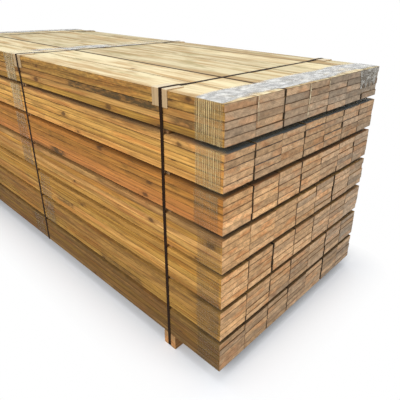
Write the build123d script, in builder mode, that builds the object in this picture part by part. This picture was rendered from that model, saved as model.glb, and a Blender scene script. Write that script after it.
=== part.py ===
"""Strapped bundle of sawn pine slats.

Seven tiers of slats, five layers by seven columns each, are parted by thin stickers and
lie on two bearers. Stretch film holds each tier, and three flat straps hold the bundle.
Millimetres, +Z up, +X along the slats. The origin is on the floor under the bundle's middle.
"""
from build123d import *
import os

# Slats
slat_length = 2692.0
slat_width = 150.0
slat_thickness = 26.0
slat_arris = 1.2
columns = 7
layers = 5
tiers = 7
layer_gap = 0.3
close_joint = 1.0
tier_slack = 8.0
end_step = 2.0
end_steps = 2

# Columns after which each tier, counted from the lowest, stands open
open_joints = {1: (5,), 2: (5,), 3: (2,), 4: (5,), 5: (1, 3), 6: (1, 3, 5), 7: (2, 6)}

# Stickers and bearers
sticker_width = 38.0
sticker_thickness = 19.0
sticker_recess = 12.0
bearer_width = 68.0
bearer_height = 68.0
bearer_arris = 2.0
strap_inset = 285.0
seat_gap = 0.3

# Straps, with their seals and edge protectors
strap_width = 16.0
strap_thickness = 0.8
strap_bend = 1.0
strap_slope = 60.0
groove_depth = 3.0
groove_side_gap = 2.0
seal_length = 30.0
seal_thickness = 1.0
sealed_tier = 4
protector_length = 76.0
protector_side_leg = 58.0
protector_top_leg = 72.0
protector_thickness = 3.0
protector_bend = 2.5

# Film bands round each tier
film_width = 116.0
film_thickness = 0.5
film_clearance = 6.0
film_inset = 3.0
film_step = 3.0
film_steps = {1: 0, 2: 1, 3: 1, 4: 0, 5: 5, 6: 2, 7: 2}
film_crossed_over = (2, 3)

# Sizes that follow from the ones above
bundle_length = slat_length + 2 * end_step * end_steps
pack_width = columns * slat_width + (columns - 1) * close_joint + tier_slack
tier_height = layers * slat_thickness + (layers - 1) * layer_gap
tier_pitch = tier_height + sticker_thickness + 2 * seat_gap
pack_floor = bearer_height + seat_gap
pack_top = pack_floor + (tiers - 1) * tier_pitch + tier_height
side = pack_width / 2
end = bundle_length / 2
strap_places = {"near": end - strap_inset, "middle": 0.0, "far": strap_inset - end}


def export(part, label):
    """Label a finished piece and write its file."""
    part.label = label
    export_step(part, f"parts/{label}.step")


def tier_floor(tier):
    """Height of the underside of a tier's lowest slats."""
    return pack_floor + (tier - 1) * tier_pitch


def column_centres(tier):
    """Y of each column's centre: the open joints share the tier's slack."""
    open_extra = tier_slack / len(open_joints[tier])
    centres = []
    edge = -side
    for column in range(1, columns + 1):
        centres.append(edge + slat_width / 2)
        edge += slat_width + close_joint
        if column in open_joints[tier]:
            edge += open_extra
    return centres


def end_shift(tier, layer, column):
    """Steps by which one slat stands out of line with its neighbours."""
    spread = 2 * end_steps + 1
    return (3 * tier + layer * (layer + 2 * tier) + 2 * column) % spread - end_steps


def slat_places(tier):
    """The middle of each slat in a tier."""
    places = []
    for layer in range(layers):
        height = tier_floor(tier) + slat_thickness / 2 + layer * (slat_thickness + layer_gap)
        for column, centre in enumerate(column_centres(tier)):
            places.append((end_shift(tier, layer, column) * end_step, centre, height))
    return places


def make_tier(tier):
    """One tier of separate slats, sawn square with a slightly broken arris."""
    with BuildPart() as slats:
        with Locations(*slat_places(tier)):
            add(slat.part)
    export(slats.part, f"slats_tier_{tier}")


def make_stickers(place):
    """The thin battens above one another that part the tiers at one strap."""
    places = [
        (strap_places[place], 0, tier_floor(tier) + tier_height + seat_gap)
        for tier in range(1, tiers)
    ]
    with BuildPart() as stickers:
        with Locations(*places):
            add(sticker.part)
    export(stickers.part, f"stickers_{place}")


def make_bearer(place):
    """A square bearer with a groove in its underside that takes the strap."""
    groove_width = strap_width + 2 * groove_side_gap
    with BuildPart() as bearer:
        with BuildSketch(Plane.XZ.offset(-side)) as section:
            with Locations((strap_places[place], bearer_height / 2)):
                Rectangle(bearer_width, bearer_height)
            chamfer(section.vertices(), length=bearer_arris)
            with Locations((strap_places[place], groove_depth / 2)):
                Rectangle(groove_width, groove_depth, mode=Mode.SUBTRACT)
        extrude(amount=pack_width)
    export(bearer.part, f"bearer_{place}")


def strap_bottom(place):
    """Height of the strap's inner face where it passes underneath."""
    if place == "middle":
        return pack_floor - seat_gap
    return groove_depth - seat_gap


def strap_outline(place):
    """Corners of the strap's inner face: snug on the timber, and over the protectors."""
    low = strap_bottom(place)
    snug = side + seat_gap
    proud = snug + protector_thickness + seat_gap
    top_snug = pack_top + seat_gap
    top_proud = top_snug + protector_thickness + seat_gap
    leg_end = top_snug - protector_side_leg
    top_leg_end = snug - protector_top_leg
    half = [
        (snug, low),
        (snug, leg_end - strap_slope),
        (proud, leg_end),
        (proud, top_proud),
        (top_leg_end, top_proud),
        (top_leg_end - strap_slope, top_snug),
    ]
    return half + [(-y, z) for y, z in reversed(half)]


def turns_square(corner):
    """True at the four outermost corners, where the strap turns round an edge."""
    low_or_high = corner.Y < pack_floor or corner.Y > pack_top + seat_gap
    return abs(corner.X) > side and low_or_high


def make_strap(place):
    """A flat strap round the whole bundle, as a closed loop of even thickness."""
    start = strap_places[place] - strap_width / 2
    with BuildSketch(Plane.YZ.offset(start)) as bore:
        with BuildLine():
            Polyline(*strap_outline(place), close=True)
        make_face()
        fillet(bore.vertices().filter_by(turns_square), radius=strap_bend)
    with BuildPart() as strap:
        with BuildSketch(Plane.YZ.offset(start)):
            add(bore.sketch_local)
            offset(amount=strap_thickness, kind=Kind.INTERSECTION)
            add(bore.sketch_local, mode=Mode.SUBTRACT)
        extrude(amount=strap_width)
    export(strap.part, f"strap_{place}")


def make_seal(place):
    """The crimped sleeve that joins the strap's ends, against a middle tier on the far side."""
    middle = strap_places[place]
    strap_face = side + seat_gap + strap_thickness + seat_gap
    seal_face = strap_face + seal_thickness
    lip = side + seat_gap
    reach = strap_width / 2 + seat_gap
    outer_reach = reach + seal_thickness
    start = tier_floor(sealed_tier) + (tier_height - seal_length) / 2
    with BuildPart() as seal:
        with BuildSketch(Plane.XY.offset(start)) as sleeve:
            with BuildLine():
                Polyline(
                    (middle - outer_reach, lip),
                    (middle - outer_reach, seal_face),
                    (middle + outer_reach, seal_face),
                    (middle + outer_reach, lip),
                    (middle + reach, lip),
                    (middle + reach, strap_face),
                    (middle - reach, strap_face),
                    (middle - reach, lip),
                    close=True,
                )
            make_face()
            fillet(sleeve.vertices().group_by(Axis.Y)[-1], radius=seal_thickness)
        extrude(amount=seal_length)
    export(seal.part, f"seal_{place}")


def make_protector(place, hand):
    """A folded board angle over the bundle's top edge, under the strap."""
    facing = -1 if hand == "left" else 1
    heel = facing * (side + seat_gap + protector_thickness)
    crown = pack_top + seat_gap + protector_thickness
    inner_heel = heel - facing * protector_thickness
    inner_crown = crown - protector_thickness
    side_end = inner_crown - protector_side_leg
    top_end = inner_heel - facing * protector_top_leg
    start = strap_places[place] - protector_length / 2
    with BuildPart() as protector:
        with BuildSketch(Plane.YZ.offset(start)) as angle:
            with BuildLine():
                Polyline(
                    (heel, side_end),
                    (heel, crown),
                    (top_end, crown),
                    (top_end, inner_crown),
                    (inner_heel, inner_crown),
                    (inner_heel, side_end),
                    close=True,
                )
            make_face()
            fillet(angle.vertices().sort_by_distance((heel, crown))[0], protector_bend)
        extrude(amount=protector_length)
    export(protector.part, f"edge_protector_{place}_{hand}")


def film_start(place, tier):
    """Where a tier's film band starts: beside the strap, or near the bundle's end."""
    if place == "middle":
        beside = (protector_length if tier == tiers else sticker_width) / 2 + film_clearance
        return beside if tier in film_crossed_over else -beside - film_width
    inset = film_inset + film_steps[tier] * film_step
    return end - inset - film_width if place == "near" else inset - end


def make_film(place):
    """The stretch film wound round each tier by itself."""
    places = [
        (film_start(place, tier), 0, tier_floor(tier) + tier_height / 2)
        for tier in range(1, tiers + 1)
    ]
    with BuildPart() as film:
        with Locations(*places):
            add(film_loop.part)
    export(film.part, f"film_{place}")


os.makedirs("parts", exist_ok=True)

with BuildPart() as slat:
    with BuildSketch(Plane.YZ.offset(-slat_length / 2)) as sawn_end:
        Rectangle(slat_width, slat_thickness)
        chamfer(sawn_end.vertices(), length=slat_arris)
    extrude(amount=slat_length)

with BuildPart() as sticker:
    with BuildSketch():
        Rectangle(sticker_width, pack_width - 2 * sticker_recess)
    extrude(amount=sticker_thickness)

with BuildPart() as film_loop:
    with BuildSketch(Plane.YZ) as film_section:
        Rectangle(pack_width + 2 * seat_gap, tier_height + 2 * seat_gap)
        chamfer(film_section.vertices(), length=slat_arris)
        bore = film_section.sketch_local
        offset(amount=film_thickness, kind=Kind.INTERSECTION)
        add(bore, mode=Mode.SUBTRACT)
    extrude(amount=film_width)

for tier_number in range(1, tiers + 1):
    make_tier(tier_number)

for strap_place in strap_places:
    make_stickers(strap_place)
    make_strap(strap_place)
    make_seal(strap_place)
    make_film(strap_place)
    make_protector(strap_place, "left")
    make_protector(strap_place, "right")

for bearer_place in ("near", "far"):
    make_bearer(bearer_place)
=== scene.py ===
import math
import random
from functools import partial

import bmesh
import bpy
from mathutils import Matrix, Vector


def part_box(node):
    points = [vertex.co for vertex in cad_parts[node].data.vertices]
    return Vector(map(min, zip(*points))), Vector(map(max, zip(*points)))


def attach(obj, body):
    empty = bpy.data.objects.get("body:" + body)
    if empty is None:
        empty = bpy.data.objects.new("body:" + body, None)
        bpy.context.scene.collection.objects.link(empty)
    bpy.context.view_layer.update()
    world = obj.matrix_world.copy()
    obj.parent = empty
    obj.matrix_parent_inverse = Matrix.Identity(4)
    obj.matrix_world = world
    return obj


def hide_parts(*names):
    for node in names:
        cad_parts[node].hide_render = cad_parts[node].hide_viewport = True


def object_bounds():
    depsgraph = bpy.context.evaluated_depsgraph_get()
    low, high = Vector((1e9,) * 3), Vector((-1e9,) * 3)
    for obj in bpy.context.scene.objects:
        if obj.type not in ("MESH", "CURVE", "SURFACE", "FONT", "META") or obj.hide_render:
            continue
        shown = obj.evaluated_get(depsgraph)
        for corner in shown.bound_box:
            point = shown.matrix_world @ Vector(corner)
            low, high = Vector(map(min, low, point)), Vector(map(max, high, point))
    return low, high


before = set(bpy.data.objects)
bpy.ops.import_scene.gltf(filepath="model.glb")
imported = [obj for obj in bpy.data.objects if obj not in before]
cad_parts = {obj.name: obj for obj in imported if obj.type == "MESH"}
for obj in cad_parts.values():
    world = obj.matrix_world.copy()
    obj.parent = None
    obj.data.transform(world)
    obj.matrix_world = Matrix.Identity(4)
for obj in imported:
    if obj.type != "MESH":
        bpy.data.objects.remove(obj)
cad_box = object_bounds()


# Bearers
# Two square timbers of rough-sawn pine across the underside, one under each end strap. Their
# arrises are here and there waney, and a shallow groove in the underside takes the strap.
# Nothing fixes them but the straps.

MM = 0.001
rng = random.Random(2692)


def linear(code):
    """A hex sRGB colour as linear red, green, blue and alpha."""
    parts = [int(code[i:i + 2], 16) / 255 for i in (1, 3, 5)]
    return [c / 12.92 if c <= 0.04045 else ((c + 0.055) / 1.055) ** 2.4 for c in parts] + [1.0]


def feed(node, *sources, sockets=None):
    """Feed a node's inputs, in their order or by name, with values, sockets or other nodes."""
    wires = list(zip([s for s in node.inputs if s.enabled], sources))
    wires += [(node.inputs[name], source) for name, source in (sockets or {}).items()]
    for socket, source in wires:
        if isinstance(source, bpy.types.Node):
            source = next(s for s in source.outputs if s.enabled)
        if isinstance(source, bpy.types.NodeSocket):
            node.id_data.links.new(source, socket)
        elif source is not None:
            socket.default_value = source

def add_node(tree, kind, *feeds, sockets=None, **settings):
    """Add a node: its settings, then what feeds its inputs, in their order or by name.

    The kind is written as "Math MULTIPLY": a shader node's own name without its first part, or
    another node's in full, and then its operation, or else its interpolation or data type.
    """
    kind, _, mode = kind.partition(" ")
    node = tree.nodes.new(kind if "Node" in kind else "ShaderNode" + kind)
    if mode:
        modes = ("operation", "interpolation_type", "data_type", "noise_dimensions")
        setattr(node, next(name for name in modes if hasattr(node, name)), mode)
    for name, value in settings.items():
        setattr(node, name, value)
    feed(node, *feeds, sockets=sockets)
    return node

def new_material(name):
    """A material, what adds nodes to it, and its own shader."""
    made = bpy.data.materials.new(name)
    made.use_nodes = True
    return made, partial(add_node, made.node_tree), made.node_tree.nodes["Principled BSDF"]

# What the shader reads of each board, besides its place in it and whether it is end grain
board_vectors = ("board_random", "board_stain", "board_knot", "board_open", "board_edges")
board_numbers = ("board_value", "end_value", "board_redness", "end_greyness")


def rough_sawn_pine(name, early, late, warm, end_fresh, end_grey, ring_mm=7.0):
    """Rough-sawn softwood: growth rings round a wandering pith, fibre, knots and saw marks.

    It reads each board's own attributes: board_at (place in the board, x along the grain),
    sawn_end (1 on the end grain), board_random, board_value and end_value (lightness),
    board_redness, end_greyness, board_stain (from, to, strength), board_knot (x, radius, z),
    board_open (painted shade in the gap above it; the side that lies open: -1, 1, or 2 for
    both; and the lightness, bleached and painted light, of a top that lies open) and
    board_edges (painted shade and dirt at the low and high side joint, and at the layers
    above and below).
    Real rings stand 2 to 5 mm apart; they are drawn about twice as coarse so that they show.
    """
    made, add, shader = new_material(name)

    own = {}
    for output, names in (("Vector", ("board_at",) + board_vectors),
                          ("Fac", ("sawn_end",) + board_numbers)):
        for attribute in names:
            own[attribute] = add("Attribute", attribute_name=attribute).outputs[output]
    at, dice, end = own["board_at"], own["board_random"], own["sawn_end"]
    along_x, along_y, along_z = add("SeparateXYZ", at).outputs
    throw_x, throw_y, throw_z = add("SeparateXYZ", dice).outputs
    shade_above, open_way, top_light = add("SeparateXYZ", own["board_open"]).outputs
    low_joint_shade_dirt, high_joint_shade_dirt, layer_shade_dirt = add("SeparateXYZ", own["board_edges"]).outputs
    facing = add("SeparateXYZ", add("NewGeometry").outputs["True Normal"])
    upward = facing.outputs["Z"]
    level = add("MapRange SMOOTHSTEP", add("Math ABSOLUTE", upward), 0.6, 0.85)

    # Noise fixed to the board: features per metre along, across and through it
    noise = {}
    for salt, (key, stretch, detail, roughness) in enumerate((
            ("ragged", (45.0, 80.0, 80.0), 2.0, 0.5), ("pith", (1.1, 0.0, 0.0), 1.0, 0.5),
            ("ripple", (3.0, 24.0, 24.0), 2.0, 0.5), ("fibre", (6.0, 210.0, 210.0), 3.0, 0.6),
            ("streak", (1.1, 42.0, 60.0), 3.0, 0.5), ("cloud", (4.0, 12.0, 34.0), 3.0, 0.6),
            ("glow", (3.2, 9.0, 24.0), 2.0, 0.5), ("bleach", (2.6, 24.0, 10.0), 4.0, 0.6),
            ("lichen", (5.0, 16.0, 10.0), 3.0, 0.6), ("end_cloud", (0.0, 26.0, 60.0), 2.0, 0.5),
            ("end_blush", (0.0, 9.0, 30.0), 1.0, 0.5), ("mottle", (26.0, 60.0, 90.0), 4.0, 0.7),
            ("worn", (7.0, 30.0, 30.0), 2.0, 0.5), ("murk", (9.0, 40.0, 44.0), 4.0, 0.7))):
        moved = add("VectorMath MULTIPLY_ADD", dice, (61.3, 37.7, 83.9), (3.1 * salt,) * 3)
        spot = add("VectorMath MULTIPLY_ADD", at, stretch, moved)
        noise[key] = add("TexNoise",
                         sockets={"Vector": spot, "Scale": 1.0, "Detail": detail,
                                  "Roughness": roughness})

    # Knots: some strewn through every board, one more where board_knot says
    cell = Vector((0.75, 0.16, 0.07))
    spot = add("VectorMath MULTIPLY_ADD", at, [1 / c for c in cell],
               add("VectorMath MULTIPLY", dice, (17.0, 29.0, 13.0)))
    cells = add("TexVoronoi", sockets={"Vector": spot, "Scale": 1.0})
    from_cell = add("VectorMath SUBTRACT", spot, cells.outputs["Position"])
    ragged = add("VectorMath MULTIPLY_ADD", noise["ragged"].outputs["Color"],
                 (0.016, 0.012, 0.012), (-0.008, -0.006, -0.006))
    strewn_gap = add("VectorMath MULTIPLY_ADD", from_cell, cell * Vector((0.7, 1.0, 1.0)), ragged)
    cell_dice = add("SeparateColor", cells.outputs["Color"])
    strewn = add("Math DIVIDE", add("VectorMath LENGTH", strewn_gap).outputs["Value"],
                 add("Math MULTIPLY_ADD", cell_dice.outputs["Red"], 0.008, 0.004))
    none_here = add("Math LESS_THAN", cell_dice.outputs["Green"], 0.45)
    strewn = add("Math MULTIPLY_ADD", none_here, 50.0, strewn)
    knot_x, knot_size, knot_z = add("SeparateXYZ", own["board_knot"]).outputs
    marked_at = add("CombineXYZ", knot_x, -0.075, knot_z)
    marked_gap = add("VectorMath MULTIPLY_ADD", add("VectorMath SUBTRACT", at, marked_at),
                     (0.55, 0.6, 1.0), ragged)
    placed = add("Math DIVIDE", add("VectorMath LENGTH", marked_gap).outputs["Value"], knot_size)
    knot_far = add("Math MINIMUM", strewn, placed)
    knot = add("MapRange SMOOTHSTEP", knot_far, 0.45, 1.3, 1.0, 0.0)
    knot_halo = add("MapRange SMOOTHSTEP", knot_far, 0.8, 3.6, 1.0, 0.0)

    # Growth rings round a pith that lies outside or inside the board and wanders along it
    pith = add("VectorMath MULTIPLY_ADD", dice, (0.0, 0.17, 0.19), (0.0, -0.085, -0.095))
    wander = add("VectorMath MULTIPLY_ADD", noise["pith"].outputs["Color"], (0.0, 0.05, 0.035),
                 pith)
    off_pith = add("VectorMath MULTIPLY", add("VectorMath SUBTRACT", at, wander), (0.0, 1.0, 1.0))
    radius = add("VectorMath LENGTH", off_pith).outputs["Value"]
    rippled = add("Math MULTIPLY_ADD", noise["ripple"], 0.010, radius)
    bent = add("Math MULTIPLY_ADD", knot_halo, 0.006, rippled)
    ring = add("Math FRACT", add("Math DIVIDE", bent, ring_mm * MM))
    late_wood = add("Math SUBTRACT", add("MapRange SMOOTHSTEP", ring, 0.3, 0.9),
                    add("MapRange SMOOTHSTEP", ring, 0.9, 1.0))

    # Colour along the grain: early and late wood, long streaks, orange glow, brown clouds
    wood = add("Mix RGBA", add("Math MULTIPLY", late_wood, 0.42), linear(early), linear(late))
    warmth = add("MapRange SMOOTHSTEP", noise["glow"], 0.44, 0.68, 0.0, 0.45)
    wood = add("Mix RGBA", add("Math MAXIMUM", warmth, own["board_redness"]), wood, linear(warm))
    for pattern, faint, full, most, tone in (("streak", 0.46, 0.68, 0.6, late),
                                             ("cloud", 0.54, 0.78, 0.6, "#6B4620"),
                                             ("murk", 0.54, 0.72, 0.5, "#5E4A22")):
        patch = add("MapRange SMOOTHSTEP", noise[pattern], faint, full, 0.0, most)
        wood = add("Mix RGBA", patch, wood, linear(tone))
    cast = add("CombineColor", add("Math MULTIPLY_ADD", throw_x, 0.20, 0.90),
               add("Math MULTIPLY_ADD", throw_x, 0.22, 0.88),
               add("Math MULTIPLY_ADD", throw_y, 0.44, 0.76))
    wood = add("Mix RGBA", 1.0, wood, cast, blend_type="MULTIPLY")
    light = add("Math MULTIPLY",
                add("MapRange SMOOTHSTEP", noise["fibre"], 0.28, 0.72, 0.75, 1.22),
                add("MapRange SMOOTHSTEP", noise["streak"], 0.25, 0.5, 1.26, 0.96))
    light = add("Math MULTIPLY", light, own["board_value"])
    wood = add("Mix RGBA", 1.0, wood, add("CombineColor", light, light, light),
               blend_type="MULTIPLY")

    # Upper faces of the top layer, sun-bleached and painted paler for the strong light on them:
    # broad cream and tan streaks, some greenish
    bleached_lit_top = add("Math MULTIPLY", add("Math GREATER_THAN", top_light, 0.0),
                   add("MapRange SMOOTHSTEP", upward, 0.3, 0.8))
    pale = add("Mix RGBA", add("MapRange SMOOTHSTEP", noise["bleach"], 0.40, 0.66),
               linear("#F6E8BE"), linear("#C8A878"))
    pale = add("Mix RGBA", add("MapRange SMOOTHSTEP", noise["lichen"], 0.52, 0.72, 0.0, 0.75),
               pale, linear("#B7AA7A"))
    pale = add("Mix RGBA", add("Math MULTIPLY", late_wood, 0.10), pale, linear("#B08E5C"))
    dim = add("Math MULTIPLY", add("MapRange SMOOTHSTEP", noise["fibre"], 0.28, 0.72, 0.92, 1.05),
              top_light)
    pale = add("Mix RGBA", 1.0, pale, add("CombineColor", dim, dim, dim), blend_type="MULTIPLY")
    wood = add("Mix RGBA", add("Math MULTIPLY", bleached_lit_top, 0.94), wood, pale)

    # Painted shade: faces against a neighbour, and in the gaps between tiers, are drawn dark,
    # bluish where the gap lies high and open to the sky; by the open side more light gets in
    open_side = add("Math ABSOLUTE", open_way)
    open_face = add("Math MAXIMUM", add("Math MULTIPLY", open_way, facing.outputs["Y"]),
                    add("Math ADD", open_side, -1.0))
    shut_side = add("Math MULTIPLY",
                    add("MapRange SMOOTHSTEP", add("Math ABSOLUTE", facing.outputs["Y"]), 0.6,
                        0.85), add("MapRange", open_face, 0.0, 0.6, 1.0, 0.0))
    from_end = add("MapRange SMOOTHSTEP", add("Math ABSOLUTE", along_x), 1.14, 1.26, 1.0, 0.0)
    by_side = add("Math MULTIPLY", add("Clamp", open_side), from_end)
    under_sky = add("MapRange", shade_above, 0.25, 0.4)
    gap_shade = add("Mix FLOAT", by_side, add("MapRange", under_sky, 0.0, 1.0, 0.88, 1.0),
                    shade_above)
    # The rim of an upper face, by the open end or side, still gets light
    by_edge = add("Math MAXIMUM",
                  add("MapRange SMOOTHSTEP", add("Math ABSOLUTE", along_x), 1.330, 1.344, 0.0,
                      add("MapRange", under_sky, 0.0, 1.0, 0.6, 0.1)),
                  add("MapRange SMOOTHSTEP", add("Math MULTIPLY", open_way, along_y), 0.050,
                      0.073))
    lit_edge = add("Math MULTIPLY", by_edge, add("MapRange", upward, 0.5, 0.8, 0.0, 0.6))
    gap_shade = add("Math MULTIPLY", gap_shade, add("Math SUBTRACT", 1.0, lit_edge))
    shut_level = add("Math MULTIPLY", gap_shade,
                     add("Math MULTIPLY", level, add("Math SUBTRACT", 1.0, bleached_lit_top)))
    painted_shade_share = add("Math MULTIPLY", add("Math MAXIMUM", shut_side, shut_level),
                 add("Math SUBTRACT", 1.0, end))
    # Painted shade tone: dark brown, turning bluish in the gaps under the sky
    painted_gap_shade_tone = add("Mix RGBA", add("Math MULTIPLY", under_sky, level), linear("#44392D"),
               linear("#48545A"))
    wood = add("Mix RGBA", add("Math MULTIPLY", painted_shade_share, 0.98), wood, painted_gap_shade_tone)

    # End grain, cut across the rings
    ends = add("Mix RGBA", own["end_greyness"], linear(end_fresh), linear(end_grey))
    ends = add("Mix RGBA", add("Math MULTIPLY", late_wood, 0.22), ends, linear("#86592F"))
    blush = add("MapRange SMOOTHSTEP", noise["end_blush"], 0.50, 0.66, 0.0, 0.5)
    blush = add("Math MULTIPLY", blush, add("Math SUBTRACT", 1.15, own["end_greyness"]))
    ends = add("Mix RGBA", blush, ends, linear("#C88148"))
    end_light = add("Math MULTIPLY",
                    add("MapRange SMOOTHSTEP", noise["end_cloud"], 0.28, 0.72, 0.78, 1.18),
                    add("Math MULTIPLY_ADD", throw_z, 0.46, 0.78))
    end_light = add("Math MULTIPLY", end_light,
                    add("MapRange SMOOTHSTEP", noise["mottle"], 0.34, 0.62, 0.78, 1.14))
    end_light = add("Math MULTIPLY", end_light, own["end_value"])
    ends = add("Mix RGBA", 1.0, ends, add("CombineColor", end_light, end_light, end_light),
               blend_type="MULTIPLY")
    wood = add("Mix RGBA", end, wood, ends)

    # Stain: sap stain, bark and dirt along part of the length, in dark flecks
    stain_from, stain_to, stain_strength = add("SeparateXYZ", own["board_stain"]).outputs
    inside = add("Math MINIMUM", add("Math SUBTRACT", along_x, stain_from),
                 add("Math SUBTRACT", stain_to, along_x))
    stained = add("Math MULTIPLY", add("MapRange SMOOTHSTEP", inside, -0.02, 0.05),
                  add("Math MULTIPLY", stain_strength,
                      add("MapRange SMOOTHSTEP", noise["mottle"], 0.36, 0.58, 0.25, 1.0)))
    on_sides = add("Math MULTIPLY", add("Math SUBTRACT", 1.0, bleached_lit_top),
                   add("Math MULTIPLY_ADD", end, -0.7, 1.0))
    stained = add("Math MULTIPLY", stained, on_sides)
    wood = add("Mix RGBA", stained, wood, linear("#42361F"))

    # Knots over all that: a brown halo drawn out along the grain, dark at the heart
    wood = add("Mix RGBA", add("Math MULTIPLY", knot_halo, 0.38), wood, linear("#80552A"))
    wood = add("Mix RGBA", add("Math MULTIPLY", knot, 0.72), wood, linear("#432B15"))

    def at_joints(start, finish):
        """Painted shade and dirt towards both long arrises, as much as each one's joint has."""
        low_side = add("Math MULTIPLY", low_joint_shade_dirt,
                       add("MapRange SMOOTHSTEP", along_y, -start, -finish))
        high_side = add("Math MULTIPLY", high_joint_shade_dirt,
                        add("MapRange SMOOTHSTEP", along_y, start, finish))
        return add("Math MAXIMUM", low_side, high_side)

    # Shade and dirt at the arrises of each sawn face, uneven along it
    layer_line = add("Math MULTIPLY", layer_shade_dirt,
                     add("MapRange SMOOTHSTEP", add("Math ABSOLUTE", along_z), 0.0096, 0.0128))
    joint_line = add("Math MULTIPLY", end, at_joints(0.0705, 0.0742))
    not_level = add("Math MULTIPLY", add("Math SUBTRACT", 1.0, level),
                    add("Math SUBTRACT", 1.0, bleached_lit_top))
    shade_and_grime = add("Math MULTIPLY", add("Math MAXIMUM", layer_line, joint_line),
                add("Math MULTIPLY", not_level,
                    add("MapRange SMOOTHSTEP", noise["worn"], 0.3, 0.62, 0.3, 1.0)))
    # The open joints of the top have painted shade and dirt along both arrises
    top_joint = add("Math MULTIPLY", at_joints(0.066, 0.0725),
                    add("Math MULTIPLY", bleached_lit_top, 0.95))
    shade_and_grime = add("Math MAXIMUM", shade_and_grime, top_joint)
    # Painted shade and dirt darken the wood by the arrises and joints
    wood = add("Mix RGBA", add("Math MULTIPLY", shade_and_grime, 0.85), wood, linear("#33200F"))
    dull = add("MapRange", noise["fibre"], 0.2, 0.8, 0.75, 0.95)

    # Raised fibre and the saw's marks, 7 mm apart across each face
    slant = add("Math MULTIPLY_ADD", along_y, 0.35, along_x)
    swept = add("Math MULTIPLY_ADD", slant, 2 * math.pi / (7 * MM),
                add("Math MULTIPLY", noise["cloud"], 6.0))
    relief = add("Math MULTIPLY_ADD", add("Math SINE", swept), 0.14,
                 add("Math MULTIPLY_ADD", late_wood, 0.25, noise["fibre"]))
    relief = add("Math MULTIPLY_ADD", knot, -0.5, relief)
    bump = add("Bump", sockets={"Height": relief, "Strength": 0.5, "Distance": 0.8 * MM})
    feed(shader, sockets={"Base Color": wood, "Roughness": dull, "Specular IOR Level": 0.3,
                          "Normal": bump})
    return made


def loft(name, rings):
    """A closed mesh through rings of points, each ring a closed outline, with both ends capped."""
    mesh = bpy.data.meshes.new(name)
    shape = bmesh.new()
    rows = [[shape.verts.new(point) for point in ring] for ring in rings]
    count = len(rows[0])
    for near, far in zip(rows, rows[1:]):
        for i in range(count):
            j = (i + 1) % count
            shape.faces.new((near[i], near[j], far[j], far[i]))
    shape.faces.new(rows[0])
    shape.faces.new(list(reversed(rows[-1])))
    bmesh.ops.recalc_face_normals(shape, faces=shape.faces)
    shape.to_mesh(mesh)
    shape.free()
    piece = bpy.data.objects.new(name, mesh)
    bpy.context.scene.collection.objects.link(piece)
    return piece


def set_attribute(mesh, name, kind, values, domain="POINT"):
    """Store a named attribute: one value, or three for a vector, per point or face."""
    attribute = mesh.attributes.new(name, kind, domain)
    field = "vector" if kind == "FLOAT_VECTOR" else "value"
    flat = [x for v in values for x in v] if kind == "FLOAT_VECTOR" else list(values)
    attribute.data.foreach_set(field, flat)


def set_board_look(mesh, boards):
    """Store what the shader reads of each point's board, from one dict for each point."""
    for kind, names in (("FLOAT_VECTOR", board_vectors), ("FLOAT", board_numbers)):
        for name in names:
            set_attribute(mesh, name, kind, [own[name] for own in boards])

def settle(piece, node):
    """Let a finished piece stand for its CAD node, on the one body."""
    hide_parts(node)
    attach(piece, "root")


bearer_pine = rough_sawn_pine("rough_sawn_pine_bearer", early="#C08F58", late="#8A5A2E",
                              warm="#96622F", end_fresh="#C2925A", end_grey="#8A755C")

groove_depth, groove_half = 3 * MM, 10 * MM
# A knot far outside the board, where no knot of its own is wanted
no_knot = (9.0, 0.01, 9.0)
stations = 30
for place in ("near", "far"):
    node = "bearer_" + place
    low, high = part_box(node)
    middle, half = (low + high) / 2, (high - low) / 2
    rings = []
    for step in range(stations + 1):
        y = low.y + (high.y - low.y) * step / stations
        ring = []
        for corner, (sx, sz) in enumerate(((1, -1), (1, 1), (-1, 1), (-1, -1))):
            # Waney arrises: the upper two lose a few millimetres over part of the length
            wane = 2.0 + (5.0 * max(0.0, math.sin(y * 4.1 + corner * 2.3)) ** 3 if sz > 0 else 0.0)
            for a, b in ((0.0, 1.0), (0.35, 0.35), (1.0, 0.0)):
                if sx * sz < 0:
                    a, b = b, a
                ring.append((middle.x + sx * (half.x - wane * MM * a),
                             y, middle.z + sz * (half.z - wane * MM * b)))
        roof = low.z + groove_depth
        ring += [(middle.x - groove_half, y, low.z), (middle.x - groove_half, y, roof),
                 (middle.x + groove_half, y, roof), (middle.x + groove_half, y, low.z)]
        rings.append(ring)
    bearer = loft("timber_" + node, rings)
    mesh = bearer.data
    set_attribute(mesh, "board_at", "FLOAT_VECTOR",
                  [(v.co.y, v.co.x - middle.x, v.co.z - middle.z) for v in mesh.vertices])
    set_attribute(mesh, "sawn_end", "FLOAT",
                  [1.0 if abs(p.normal.y) > 0.9 else 0.0 for p in mesh.polygons], "FACE")
    own = {"board_random": [rng.random() for _ in range(3)], "board_stain": (-0.2, 0.3, 0.35),
           "board_knot": no_knot, "board_open": (0.3, 2.0, 0.0), "board_edges": (0.0, 0.0, 0.0),
           "board_value": 1.0, "end_value": 1.0, "board_redness": 0.15, "end_greyness": 0.3}
    set_board_look(mesh, [own] * len(mesh.vertices))
    mesh.materials.append(bearer_pine)
    settle(bearer, node)


# Slats
# 245 rough-sawn boards of pressure-treated pine, ripped on the frame saw and cross-cut square.
# They lie loose in seven tiers of five layers and seven columns, so no two have quite the same
# width, thickness, bow or colour, and some joints stand open where others are tight.

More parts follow.
